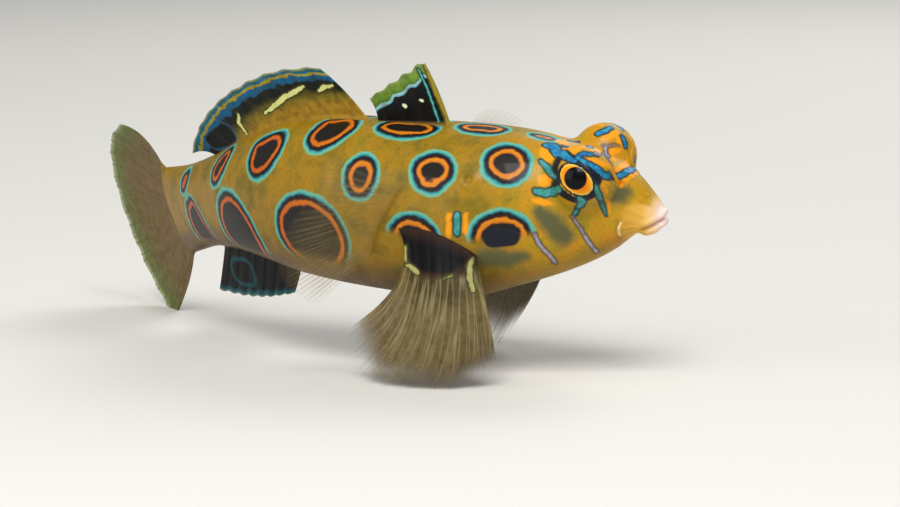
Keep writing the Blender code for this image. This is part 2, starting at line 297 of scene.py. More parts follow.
def add_piece(name, mesh, finish, slot, *nodes):
    """An object of that mesh on the root body, which stands for the named CAD nodes."""
    piece = bpy.data.objects.new(name, mesh)
    mesh.materials.append(finish)
    mesh.shade_smooth()
    bpy.context.scene.collection.objects.link(piece)
    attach(piece, "root")
    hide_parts(*nodes)
    print(name, "has", len(mesh.polygons), "faces")
    return piece


# %% [markdown]
# The skin is one closed sleeve: a flat grid rolled up, whose rows become rings around the
# spine, closest together on the head where the shape is finest. Its two long edges meet under
# the belly and are welded, and the first and last few rings close in to a point. A grid keeps
# the rings even, which a ball or a cylinder would not.

# %% The skin
AROUND = 168
CLOSING_RINGS = 7
LIP_BULGE = 0.35
front_shares = np.linspace(0, 1, CLOSING_RINGS + 1)[:-1]
rear_shares = np.linspace(1, 0, CLOSING_RINGS + 1)
# Rings stand 0.12 mm apart on the head, 0.17 mm on the trunk and 0.24 mm on the tail
RING_GAPS = ((0, 8.6, 0.12), (8.6, 22, 0.17), (22, 55.4, 0.24))
flank = np.concatenate([np.arange(*gaps) for gaps in RING_GAPS])
ring_along = np.concatenate([0 * front_shares, flank, 0 * rear_shares + STANDARD_LENGTH])
ring_share = np.concatenate([front_shares, np.ones(len(flank)), rear_shares])

skin_bm = bmesh.new()
along_layer = skin_bm.verts.layers.float.new("along")
round_layer = skin_bm.verts.layers.float.new("round")
bmesh.ops.create_grid(skin_bm, x_segments=len(ring_along) - 1, y_segments=AROUND, size=0.5)
grid = np.array([vert.co[:2] for vert in skin_bm.verts]) + 0.5
rings = np.rint(grid[:, 0] * (len(ring_along) - 1)).astype(int)
angles = (grid[:, 1] - 0.5) * tau
surface = skin_point(ring_along[rings], angles)
middles = body_point(ring_along[rings], 0 * angles, section(ring_along[rings])[3])
placed = middles + (surface - middles) * ring_share[rings][:, None]
pout = LIP_BULGE * np.sqrt(1 - ring_share[rings] ** 2) * (rings < CLOSING_RINGS)
placed += heading(np.array(0.0)) * pout[:, None]
for vert, point, ring, angle in zip(skin_bm.verts, placed, rings, angles):
    vert.co = Vector(point) * MM
    vert[along_layer] = ring_along[ring]
    vert[round_layer] = angle
bmesh.ops.remove_doubles(skin_bm, verts=skin_bm.verts, dist=0.002 * MM)
bmesh.ops.recalc_face_normals(skin_bm, faces=skin_bm.faces)
open_edges = sum(edge.is_boundary for edge in skin_bm.edges)
skin_mesh = new_mesh(skin_bm, "skin")
print("skin:", len(skin_mesh.polygons), "faces,", open_edges, "open edges")

# %% [markdown]
# The small forms of the head are pressed into that sleeve: the line of the mouth between two
# soft lips, the wrinkles and the fold behind them, a nostril and a gill pore with raised rims.
# A sculptor would do the same with a tool on wet clay. Each is a smooth rise or dip, worked out
# from the distance to its place, so it has no edges.

# %% Forms of the head
MOUTH_TILT = 0.35
MOUTH_DEPTH, MOUTH_WIDTH = 0.34, 0.13
LIP_SWELL, LIP_WIDTH = 0.14, 0.22
FOLD_ALONG, FOLD_DEPTH, FOLD_WIDTH = 2.6, 0.16, 0.14
WRINKLE_HEIGHT = 0.02
# Of the nostril and of the gill pore: distance from the lips and degrees round, then height,
# radius and width of the rim, and depth and width of the hole
PITS = (
    (2.6, 38, 0.16, 0.36, 0.12, 0.4, 0.2),
    (14.3, 48, 0.16, 0.6, 0.25, 0.35, 0.3),
)

flat_points = read_points(skin_mesh)
normals = read_vectors(skin_mesh, "normal")
along = read_values(skin_mesh, "along")
angle = read_values(skin_mesh, "round")
degrees_round = np.degrees(np.abs(angle))

lips_point, _, lips_up = frame_at(0.0)
mouth_across = unit(lips_up - heading(np.array(0.0)) * MOUTH_TILT)
from_mouth = (flat_points - lips_point + lips_up * 0.15) @ mouth_across
mouth_fade = fall(along, 0.7, 1.0)
lift = -MOUTH_DEPTH * bump(from_mouth, MOUTH_WIDTH) * mouth_fade
lift += LIP_SWELL * bump(np.abs(from_mouth) - 0.42, LIP_WIDTH) * mouth_fade
wrinkle_fade = rise(along, 0.5, 0.5) * fall(along, 2.6, 0.8)
lift += WRINKLE_HEIGHT * np.sin(degrees_round * 0.42 + along * 1.2) * wrinkle_fade

fold = along - FOLD_ALONG - 0.3 * rise(degrees_round, 85, 15)
fold_side = rise(degrees_round, 80, 10) * fall(degrees_round, 120, 20)
lift -= FOLD_DEPTH * bump(fold, FOLD_WIDTH) * fold_side
lift += 0.08 * bump(fold + 0.3, 0.22) * fold_side
write_values(skin_mesh, "fold", np.abs(fold + 0.08) + 1 - fold_side)


for side, _ in SIDES:
    for place, turn, rim_height, rim_radius, rim_width, depth, width in PITS:
        pit = np.linalg.norm(flat_points - skin_point(place, radians(turn) * side), axis=-1)
        lift += rim_height * bump(pit - rim_radius, rim_width) - depth * bump(pit, width)
print("pressed the mouth, the fold and the pits, at most", -lift.min().round(2), "mm deep")

# %% [markdown]
# The eye of a fish has no moving lid. Its opening in the skin is a tilted oval with a low soft
# rim. Inside it the skin is sunk behind the ball of the eye, and around it the skin is lifted
# off that ball, so that the two never cut through each other.

# %% The openings of the eyes
LID_AXES = (1.53, 1.03)
LID_TILT = radians(-37)
LID_CENTRE = (-0.15, -0.11)
LID_RIM = 0.07
LID_REACH = 2.2
BALL_GAP = 0.06
SOCKET_DEPTH = 0.6


def eye_plane(points, side):
    """Places seen along an eye's axis: forward, up, and how far out of the lid's oval opening."""
    way = eye_way(side)
    forward = heading(np.array(EYE_ALONG))
    forward = unit(forward - way * (forward @ way))
    upward = np.cross(way, forward) * -side
    offset = points - eye_centre(side)
    x, y = offset @ forward, offset @ upward
    from_x, from_y = x - LID_CENTRE[0], y - LID_CENTRE[1]
    across = from_x * cos(LID_TILT) + from_y * sin(LID_TILT)
    beside = from_y * cos(LID_TILT) - from_x * sin(LID_TILT)
    opening = np.hypot(across / LID_AXES[0], beside / LID_AXES[1])
    return x, y, np.where(offset @ way > 0, opening, FAR)


lid = np.full(len(flat_points), FAR)
for side, _ in SIDES:
    opening = eye_plane(flat_points, side)[2]
    ball = eye_centre(side) + eye_way(side) * EYE_OUT
    clearance = EYE_RADIUS + BALL_GAP - np.linalg.norm(flat_points - ball, axis=-1)
    lift += np.maximum(clearance, 0) * (opening < LID_REACH) * rise(opening, 0.9, 0.1)
    lift -= SOCKET_DEPTH * fall(opening, 0.88, 0.12)
    lift += LID_RIM * bump(opening - 1.14, 0.12)
    lid = np.minimum(lid, opening)
write_values(skin_mesh, "lid", lid)

skin_points = flat_points + normals * lift[:, None]
skin_mesh.vertices.foreach_set("co", (skin_points * MM).ravel())
skin_mesh.update()
print("pressed the head's forms, from", lift.min().round(2), "to", lift.max().round(2), "mm")

# %% [markdown]
# The markings are drawn on the surface itself. Each ring spot is an oval, or two melted
# together. Each vertex keeps its distance to the nearest spot's edge in millimetres, negative
# inside. A colour ramp over that distance then draws the rings, with edges that stay sharp
# however coarse the mesh is.

# %% Ring spots
# Distance from the lips, degrees round from the back, two radii and the tilt of the first
RING_SPOTS = (
    ((9.6, 0, 1.5, 0.8, 0),),
    ((14.8, 0, 2.5, 1.5, 0),),
    ((20.9, 8, 3.1, 1.75, 0),),
    ((27.2, 19, 2.75, 2.2, 42), (28.0, 11, 1.3, 1.3, 0)),
    ((33.2, 42, 2.8, 2.15, 36), (34.2, 37, 1.4, 1.4, 0)),
    ((40.2, 43, 2.5, 1.6, 36),),
    ((48.9, 47, 1.6, 1.1, 40),),
    ((11.5, 35, 2.25, 2.1, -20),),
    ((17.3, 44, 2.2, 1.9, 0), (17.4, 52, 1.1, 1.4, 90)),
    ((23.2, 54, 1.9, 2.1, 0),),
    ((28.1, 96, 4.5, 3.8, 0),),
    ((38.4, 112, 4.3, 3.9, 105),),
    ((47.9, 121, 3.6, 2.6, 105),),
    ((18.6, 86, 2.6, 2.2, 0),),
    ((11.5, 84, 2.85, 2.4, 0),),
)


def oval_distance(points, oval, side):
    """Signed distance in millimetres from the edge of an oval on the surface."""
    place, degrees, first, second, tilt = oval
    turn = radians(degrees) * side
    centre = skin_point(place, turn)
    back = unit(skin_point(place + 0.3, turn) - skin_point(place - 0.3, turn))
    outward = skin_normal(np.array(place), np.array(turn))
    down = unit(np.cross(back, outward)) * side
    offset = points - centre
    x, y = offset @ back, offset @ down
    tilt = radians(tilt)
    across = (x * cos(tilt) + y * sin(tilt)) / first
    beside = (y * cos(tilt) - x * sin(tilt)) / second
    radius = np.hypot(across, beside) + 1e-6
    slope = np.hypot(across / first, beside / second) / radius
    # A spot mustn't show through on the far side of the body
    behind = np.maximum(-(offset @ outward) - 0.8 * max(first, second) - 1.0, 0)
    return (radius - 1) / slope + behind


spots = np.full(len(flat_points), FAR)
for ovals in RING_SPOTS:
    for side, _ in SIDES:
        shape = oval_distance(flat_points, ovals[0], side)
        for extra in ovals[1:]:
            shape = melt(shape, oval_distance(flat_points, extra, side), 0.6)
        spots = np.minimum(spots, shape)
SPOT_WOBBLE = 0.05
spots += SPOT_WOBBLE * np.sin(along * 2.9) * np.sin(angle * 17)
write_values(skin_mesh, "spots", spots)
behind = rise(along, 22, 4)
fade_from = 82 + 25 * behind + 18 * rise(along, 32, 5)
write_values(skin_mesh, "spot_share", fall(degrees_round, fade_from, 5 + 7 * behind))
print(len(RING_SPOTS) * 2, "ring spots, the skin inside them:", round(float((spots < 0).mean()), 2))

# %% [markdown]
# The head is drawn with a brush instead: short strokes of blue, teal, orange, black and a pale
# lavender. A stroke is a row of touches, each with its place and the brush's half width. The
# touches are joined on the surface, and the distance to the nearest of them is kept.

# %% Brush strokes of the head
# The sides a stroke is on, then touches: distance from the lips, degrees round and half width.
# Where a stroke runs over the crown, its degrees change sign.
BOTH, LEFT, RIGHT = (1, -1), (1,), (-1,)
BLUE_STROKES = (
    (RIGHT, (8.9, 12, 0.36), (8.4, 11, 0.46), (7.6, 22, 0.46), (6.4, 38, 0.36), (5.3, 46, 0.16)),
    (LEFT, (8.2, 22, 0.3), (6.8, 38, 0.34), (5.5, 45, 0.18)),
    (BOTH, (7.7, -7, 0.15), (6.95, -9, 0.13)),
    (BOTH, (5.3, 41, 0.13), (4.85, 38, 0.25), (4.4, 38, 0.22), (3.95, 36, 0.16)),
    (RIGHT, (5.3, 42, 0.12), (4.55, 46, 0.24), (3.8, 49, 0.28), (3.2, 52, 0.29), (2.9, 43, 0.28),
     (2.75, 22, 0.27)),
    (RIGHT, (2.75, 22, 0.27), (2.45, 5, 0.28), (2.45, -22, 0.24), (2.9, -50, 0.18)),
    (LEFT, (5.3, 42, 0.12), (4.55, 46, 0.24), (3.8, 49, 0.26), (3.1, 56, 0.18)),
    (BOTH, (5.45, -16, 0.25), (5.0, -20, 0.3), (4.7, -27, 0.24)),
    (BOTH, (3.7, -29, 0.2), (3.3, -29, 0.26)),
)
TEAL_STROKES = (
    (BOTH, (8.9, 30, 0.16), (8.3, 36, 0.3), (7.7, 44, 0.32), (6.9, 52, 0.2)),
    (BOTH, (8.9, 55, 0.26), (8.2, 57, 0.3), (7.5, 57, 0.38), (6.6, 59, 0.28)),
    (BOTH, (5.1, 65, 0.16), (4.75, 68, 0.32), (5.2, 71, 0.3), (5.9, 75, 0.18)),
    (BOTH, (3.75, 60, 0.16), (3.6, 65, 0.26), (3.8, 70, 0.18), (3.6, 80, 0.07)),
    (BOTH, (14.95, 70, 0.3), (15.0, 80, 0.3)),
)
PALE_STROKES = (
    (BOTH, (6.1, 76, 0.1), (5.5, 88, 0.13), (5.0, 106, 0.16), (4.7, 129, 0.14)),
    (BOTH, (8.9, 85, 0.18), (8.6, 92, 0.15), (8.0, 104, 0.17), (7.7, 118, 0.16)),
    (BOTH, (4.85, -9, 0.08), (4.55, -11, 0.13), (3.95, -17, 0.12), (3.6, -22, 0.09)),
    (BOTH, (4.65, -9, 0.12), (4.5, -5, 0.14), (4.2, 3, 0.12)),
    (RIGHT, (4.1, 35, 0.14), (3.8, 34, 0.1)),
)
ORANGE_STROKES = (
    (BOTH, (8.8, 20, 0.46), (8.4, 27, 0.42), (8.2, 33, 0.2)),
    (BOTH, (8.4, 47, 0.42), (7.7, 49, 0.36)),
    (RIGHT, (8.3, 1, 0.2), (7.8, 1, 0.24), (6.65, 26, 0.24), (5.75, 36, 0.24), (5.45, 31, 0.22),
     (5.2, 24, 0.22), (4.4, 32, 0.12)),
    (BOTH, (6.7, -30, 0.18), (6.2, -29, 0.22), (5.6, -27, 0.16)),
    (BOTH, (4.85, -14, 0.15), (4.4, -20, 0.24), (4.1, -27, 0.26), (3.85, -25, 0.22), (3.7, -20, 0.16)),
    (RIGHT, (4.4, 43, 0.16), (3.8, 44, 0.22), (3.3, 42, 0.22), (3.15, 28, 0.24), (3.0, 8, 0.24),
     (2.95, -19, 0.22)),
    (RIGHT, (2.95, -19, 0.22), (2.95, -42, 0.2), (3.15, -56, 0.22), (3.2, -42, 0.22)),
    (LEFT, (4.4, 43, 0.16), (3.8, 44, 0.22), (3.3, 42, 0.2)),
    (BOTH, (4.15, -6, 0.14), (4.1, -11, 0.18), (3.7, -18, 0.14), (3.5, -22, 0.09)),
    (BOTH, (4.1, -6, 0.1), (3.7, 0, 0.13)),
    (RIGHT, (3.1, 56, 0.1), (2.65, 40, 0.14), (2.4, 30, 0.16), (2.15, 8, 0.18), (2.15, -25, 0.14)),
    (BOTH, (3.5, 56, 0.12), (3.2, 60, 0.12), (3.4, 67, 0.09), (3.4, 76, 0.07)),
    (BOTH, (9.0, 62, 0.14), (8.4, 63, 0.2), (7.6, 65, 0.12)),
    (BOTH, (15.6, 70, 0.18), (15.7, 82, 0.16)),
    (BOTH, (14.25, 70, 0.16), (14.35, 80, 0.14)),
)


def stroke_distance(points, touches, place):
    """Signed distance in millimetres from the edge of a stroke drawn from touch to touch."""
    touches = np.array(touches, float)
    corners = place(touches[:, 0], touches[:, 1])
    nearest = np.full(len(points), FAR)
    for start, end, before, after in zip(corners, corners[1:], touches[:, 2], touches[1:, 2]):
        run = end - start
        share = np.clip((points - start) @ run / (run @ run), 0, 1)
        gaps = np.linalg.norm(points - start - share[:, None] * run, axis=-1)
        nearest = np.minimum(nearest, gaps - before - (after - before) * share)
    return nearest


def skin_strokes(name, strokes):
    """Keeps the distance to the nearest stroke of the head, on the sides that each is on."""
    nearest = np.full(len(flat_points), FAR)
    for sides, *touches in strokes:
        for side in sides:

            def place(mm, turn):
                return skin_point(mm, np.radians(turn) * side)

            nearest = np.minimum(nearest, stroke_distance(flat_points, touches, place))
    write_values(skin_mesh, name, nearest)
    print(name, "strokes:", len(strokes))


HEAD_STROKES = (BLUE_STROKES, TEAL_STROKES, PALE_STROKES, ORANGE_STROKES)
for name, strokes in zip(("blue", "teal", "pale", "orange"), HEAD_STROKES):
    skin_strokes(name, strokes)

# %% [markdown]
# Softer shadows finish the head: black skin around the eye, and smoky patches on the cheek, the
# snout and under the gills. Painted shade darkens the belly to brown; the throat stays yellower.
# Strokes with a wide soft edge give the patches, and weights rising down the flank give the shade.

# %% Shadows and tones
SMOKE = (
    (BOTH, (8.5, 70, 0.7), (7.7, 78, 1.05), (6.8, 90, 0.95)),
    (BOTH, (3.0, 60, 0.6), (2.6, 54, 0.85), (2.2, 48, 0.55)),
    (BOTH, (13.0, 95, 0.9), (11.3, 98, 0.9), (9.8, 99, 0.55)),
)
EYE_SHADOWS = (
    (BOTH, (7.4, 33, 0.3), (7.1, 41, 0.52), (7.2, 46, 0.5), (6.8, 53, 0.42)),
    (BOTH, (6.6, 33, 0.2), (5.8, 42, 0.3), (4.8, 46, 0.34), (3.9, 53, 0.42), (3.5, 57, 0.26)),
    (BOTH, (4.6, 67, 0.28), (4.0, 65, 0.38), (3.7, 61, 0.26)),
    (BOTH, (7.3, 55, 0.3), (6.6, 60, 0.4), (6.0, 64, 0.34), (5.4, 67, 0.28)),
    (BOTH, (12.2, 84, 0.7), (10.8, 84, 0.7)),
)
skin_strokes("smoke", SMOKE)
skin_strokes("shadow", EYE_SHADOWS)
# Painted shade: the belly is darkened towards the underside, less so under the throat
down_share = degrees_round / 180
pale_throat = 0.7 * fall(along, 8, 12)
write_values(skin_mesh, "belly_shade", rise(down_share, 0.53, 0.2) * (1 - pale_throat))
write_values(skin_mesh, "warm", fall(along, 7, 8))
lip_end = 0.5 + 2.1 * rise(degrees_round, 35, 50)
write_values(skin_mesh, "lips", fall(along - lip_end, -0.2, 0.5))
print("tones written for", len(flat_points), "vertices")

# %% [markdown]
# One small function adds a node to a material with its settings and its links, and another
# turns a colour as a painter reads it, a hex value, into the linear light that Blender uses.

# %% Helpers for nodes


def colour(hex_value):
    """A linear colour with full opacity from an sRGB hex value."""
    channels = [int(hex_value[k : k + 2], 16) / 255 for k in (1, 3, 5)]
    return (*[c / 12.92 if c < 0.04045 else ((c + 0.055) / 1.055) ** 2.4 for c in channels], 1)


def socket_of(sockets, key):
    """A socket by its identifier or its name."""
    named = [socket for socket in sockets if socket.identifier == key]
    return (named or [socket for socket in sockets if socket.name == key])[0]


def fill(tree, socket, value):
    """Links a socket to an output, or sets it to a number, a vector or a hex colour."""
    if isinstance(value, bpy.types.NodeSocket):
        tree.links.new(value, socket)
    else:
        socket.default_value = colour(value) if isinstance(value, str) else value


def add(tree, kind, stops=None, **given):
    """Adds a node. Lower-case words are its settings, and the others are its sockets."""
    node = tree.nodes.new("ShaderNode" + kind)
    for key, value in given.items():
        if key[0].islower():
            setattr(node, key, value)
    if stops:
        elements = node.color_ramp.elements
        while len(elements) < len(stops):
            elements.new(1)
        for element, (place, tint) in zip(elements, stops):
            element.position = place
            element.color = colour(tint)
    for key, value in given.items():
        if not key[0].islower():
            fill(tree, socket_of(node.inputs, key.replace("__", " ")), value)
    return node


def new_finish(name):
    """An empty material and its node tree."""
    finish = bpy.data.materials.new(name)
    finish.use_nodes = True
    finish.node_tree.nodes.clear()
    return finish, finish.node_tree


# %% [markdown]
# The rest are short names for what a painter does: mix, mask, dab, speckle and pick from a row
# of colours. A finish is then read from top to bottom, as layers laid one over the other.

# %% Helpers for painting


def mask(tree, value, inside, outside):
    """1 where a value is at inside, 0 where it is at outside, smooth between."""
    span = {"From__Min": outside, "From__Max": inside}
    node = add(tree, "MapRange", interpolation_type="SMOOTHSTEP", Value=value, **span)
    return node.outputs["Result"]


def paint(tree, under, over, share, blend="MIX"):
    """Lays one colour over another by a share."""
    layers = {"Factor_Float": share, "A_Color": under, "B_Color": over}
    node = add(tree, "Mix", data_type="RGBA", blend_type=blend, **layers)
    return socket_of(node.outputs, "Result_Color")


def dab(tree, under, over, value, inside, outside):
    """Lays one colour over another where a value is at inside, and fades it out to outside."""
    return paint(tree, under, over, mask(tree, value, inside, outside))


def field(tree, name):
    """What the mesh keeps under a name."""
    return add(tree, "Attribute", attribute_name=name).outputs["Fac"]


def calc(tree, operation, *numbers):
    """What a Math node makes of up to three numbers."""
    given = dict(zip(("Value", "Value_001", "Value_002"), numbers))
    return add(tree, "Math", operation=operation, **given).outputs["Value"]


def ramp(tree, share, stops):
    """The colour at a place along a row of colours."""
    return add(tree, "ValToRGB", Fac=share, stops=stops).outputs["Color"]


def grain(tree, size, detail=2, roughness=0.5):
    """Noise whose blots are about this many millimetres across."""
    place = add(tree, "TexCoord").outputs["Object"]
    noise = {"Scale": 1 / (size * MM), "Detail": detail, "Roughness": roughness}
    return add(tree, "TexNoise", Vector=place, **noise).outputs["Fac"]


def wavered(tree, name, size=0.5, amount=0.16, detail=3):
    """A distance kept on the mesh, made a little uneven, as a hand-drawn edge is."""
    swing = calc(tree, "SUBTRACT", grain(tree, size, detail), 0.5)
    return calc(tree, "MULTIPLY_ADD", swing, amount * 2, field(tree, name))


def shade(tree, tint, **given):
    """The Principled shader that ends a finish."""
    shader = add(tree, "BsdfPrincipled", Base__Color=tint, **given)
    add(tree, "OutputMaterial", Surface=shader.outputs["BSDF"])


# %% [markdown]
# Wet fish skin is a thick layer of slime over a scaleless hide. Light soaks in a little before
# it comes back, and the slime on top gives a soft wet gloss. That is a Principled shader with
# some subsurface light and a clear coat. Its colour is a mustard ground mottled with olive and
# orange, with the rings and strokes painted on by their distances.

# %% Wet slime-coated skin
skin_finish, tree = new_finish("wet_scaleless_skin")
spots_field = wavered(tree, "spots")
mottle = grain(tree, 2.2, 4, 0.6)
MUSTARD = ((0.3, "#665a14"), (0.46, "#866b12"), (0.6, "#9b7410"), (0.75, "#786e18"))
HEAD_YELLOW = ((0.32, "#948016"), (0.5, "#b58b14"), (0.68, "#c4850c"))
# Painted shade: the dark browns that darken the belly towards the underside
BELLY_SHADE_BROWN = ((0.3, "#4a3519"), (0.7, "#6f552b"))
head_ground = ramp(tree, mottle, HEAD_YELLOW)
ground = paint(tree, ramp(tree, mottle, MUSTARD), head_ground, field(tree, "warm"))
# The belly's painted shade, laid over the ground by its weight
belly_shade = ramp(tree, grain(tree, 1.6, 3), BELLY_SHADE_BROWN)
ground = paint(tree, ground, belly_shade, field(tree, "belly_shade"))
freckles = mask(tree, grain(tree, 0.22, 3), 0.85, 0.45)
ground = paint(tree, ground, "#dccfa0", freckles, "MULTIPLY")
LIP_REACH = 3.0
LIP_COLOURS = ((0.0, "#efd2c6"), (0.13, "#e4bd82"), (0.35, "#d6a545"), (0.9, "#c09024"))
lips = ramp(tree, calc(tree, "DIVIDE", field(tree, "along"), LIP_REACH), LIP_COLOURS)
ground = paint(tree, ground, lips, field(tree, "lips"))
ground = dab(tree, ground, "#ead49c", field(tree, "fold"), 0.02, 0.14)
ground = dab(tree, ground, "#565634", wavered(tree, "smoke", 0.8, 0.3), -0.6, 0.4)

# Millimetres inwards (negative) or outwards from the edge of a spot
RING_INNER, RING_OUTER = -2.4, 0.2
RINGS = (
    (-2.4, "#1a1812"), (-1.26, "#15110e"), (-1.18, "#8a4a10"), (-1.08, "#c8740e"),
    (-0.84, "#cb7a0e"), (-0.75, "#6a330c"), (-0.67, "#1a0f12"), (-0.44, "#151118"),
    (-0.36, "#1c5a60"), (-0.27, "#2f8a8c"), (-0.13, "#5ea89a"), (-0.02, "#6f9a66"),
    (0.12, "#6f7a34"),
)
ring_stops = [((mm - RING_INNER) / (RING_OUTER - RING_INNER), tint) for mm, tint in RINGS]
span = {"From__Min": RING_INNER, "From__Max": RING_OUTER}
ring_place = add(tree, "MapRange", Value=spots_field, **span).outputs["Result"]
# Towards the tail the orange rings turn red
REDDER = {"#8a4a10": "#7c3410", "#c8740e": "#b8560f", "#cb7a0e": "#bb5a10"}
rear_stops = [(place, REDDER.get(tint, tint)) for place, tint in ring_stops]
rings_colour, rear_colour = (ramp(tree, ring_place, row) for row in (ring_stops, rear_stops))
rings_colour = dab(tree, rings_colour, rear_colour, field(tree, "along"), 34, 18)
on_spot = calc(tree, "MULTIPLY", mask(tree, spots_field, 0.0, 0.12), field(tree, "spot_share"))
painted = paint(tree, ground, rings_colour, on_spot)
painted = dab(tree, painted, "#e8950a", wavered(tree, "orange", 0.6, 0.2), -0.1, 0.2)
painted = dab(tree, painted, "#131722", field(tree, "shadow"), -0.02, 0.22)
streak = mask(tree, grain(tree, 0.45, 3), 0.7, 0.4)
STROKE_TINTS = (
    ("teal", "#12302c", "#2f8478", "#4f9aa6"),
    ("blue", "#0b1c2c", "#14699a", "#2f93a8"),
    ("pale", "#5c4a2c", "#a39fae", "#8f95b0"),
)
for name, edge, tint, second_tint in STROKE_TINTS:
    distance = wavered(tree, name)
    painted = dab(tree, painted, edge, distance, 0.0, 0.2)
    inner = paint(tree, tint, second_tint, streak)
    painted = dab(tree, painted, inner, distance, -0.14, 0.04)
painted = dab(tree, painted, "#120f14", field(tree, "lid"), 1.03, 1.12)

fine = grain(tree, 0.14)
relief = add(tree, "Bump", Height=fine, Strength=0.12, Distance=0.06 * MM).outputs["Normal"]
soak = {"Subsurface__Weight": 0.06, "Subsurface__Scale": 0.6 * MM}
soak["Subsurface__Radius"] = (1.0, 0.6, 0.3)
slime = {"Specular__IOR__Level": 0.3, "Coat__Weight": 0.12, "Coat__Roughness": 0.08}
shade(tree, painted, Roughness=0.5, IOR=1.35, Normal=relief, **soak, **slime)
body_nodes = ("head", "torso", "tail", "upper_jaw", "lower_jaw")
add_piece("skin", skin_mesh, skin_finish, "skin", *body_nodes)

# %% [markdown]
# A fish's eye is a ball with a clear, wet front: a black pupil that lets no light back, and
# around it an orange iris that turns yellow at its rim. The ball is a sphere with its pole
# turned to where the eye looks. The pupil is drawn by the distance from its own centre, and the
# iris by how far out it lies in the oval opening of the skin, so that it fills that opening.

# %% The eyes
PUPIL_RADIUS = 0.86
PUPIL_FORWARD = -0.16
EYE_SEGMENTS, EYE_RINGS = 96, 64
eye_finish, tree = new_finish("clear_wet_eye")
swing = calc(tree, "MULTIPLY_ADD", grain(tree, 0.16), 0.2, -0.1)
IRIS_COLOURS = (
    (0.5, "#c9650a"), (0.7, "#e8820a"), (0.84, "#ef9712"), (0.93, "#efb638"), (0.98, "#e9cf7e"),
    (1.0, "#2a241c"),
)
iris = ramp(tree, calc(tree, "ADD", field(tree, "opening"), swing), IRIS_COLOURS)
pupil = field(tree, "pupil")
eye_colour = dab(tree, iris, "#3a1a08", pupil, PUPIL_RADIUS + 0.02, PUPIL_RADIUS + 0.1)
eye_colour = dab(tree, eye_colour, "#04050b", pupil, PUPIL_RADIUS - 0.03, PUPIL_RADIUS + 0.03)
wet = {"Specular__IOR__Level": 0.1, "Coat__Weight": 0.16, "Coat__Roughness": 0.03}
shade(tree, eye_colour, Roughness=0.35, IOR=1.37, **wet)

for side, word in SIDES:
    ball = bmesh.new()
    size = EYE_RADIUS * MM
    bmesh.ops.create_uvsphere(ball, u_segments=EYE_SEGMENTS, v_segments=EYE_RINGS, radius=size)
    way = Vector(eye_way(side))
    middle = Vector(eye_centre(side) + eye_way(side) * EYE_OUT) * MM
    turned = Matrix.Translation(middle) @ way.to_track_quat("Z", "Y").to_matrix().to_4x4()
    bmesh.ops.transform(ball, matrix=turned, verts=ball.verts)
    eye_mesh = new_mesh(ball, "eye_" + word)
    x, y, opening = eye_plane(read_points(eye_mesh), side)
    write_values(eye_mesh, "pupil", np.where(opening < FAR, np.hypot(x - PUPIL_FORWARD, y), FAR))
    write_values(eye_mesh, "opening", opening)
    add_piece("eyeball_" + word, eye_mesh, eye_finish, "eye", "eye_" + word)

# %% [markdown]
# A fin is a fan of bony rays with a skin between them. Every fin here starts as a flat grid:
# one side becomes the root line on the body, the other the free margin, and the columns run
# along the rays, bent towards a bow. A Solidify modifier gives it a wall, and a vertex group
# makes that wall thick along the rays and at the root. Each vertex keeps its share of the way
# across the fin, how far out it lies, its distance from the margin in millimetres and how near
# it is to a ray.

# %% How a fin is made
# Walls in millimetres: of the skin between rays, and the most that any part may have
WEB_WALL = 0.1
FIN_WALL = 1.0
RAY_WIDTH = 0.12
FORK_REACH = 0.3
# How far a ray may stand from its even place, as a share of the gap between rays
RAY_STRAY = 0.07


def ray_nearness(across, out, rays, forks):
    """1 on the middle of a ray and 0 between rays. Rays fork at each of these shares out."""
    stray = np.sin(across * 41) + np.sin(across * 97 + out * 2)
    uneven = across + RAY_STRAY / rays * stray
    cell = np.clip(uneven, 0, 1) * rays
    within = cell - np.floor(cell)
    centre = np.full_like(within, 0.5)
    spread = 0.25
    for opens in forks:
        fork = spread * rise(out, opens, FORK_REACH)
        centre = centre + np.where(within > centre, fork, -fork)
        spread /= 2
    halvings = sum(rise(out, opens, FORK_REACH) for opens in forks)
    return bump(within - centre, RAY_WIDTH * 0.5**halvings)


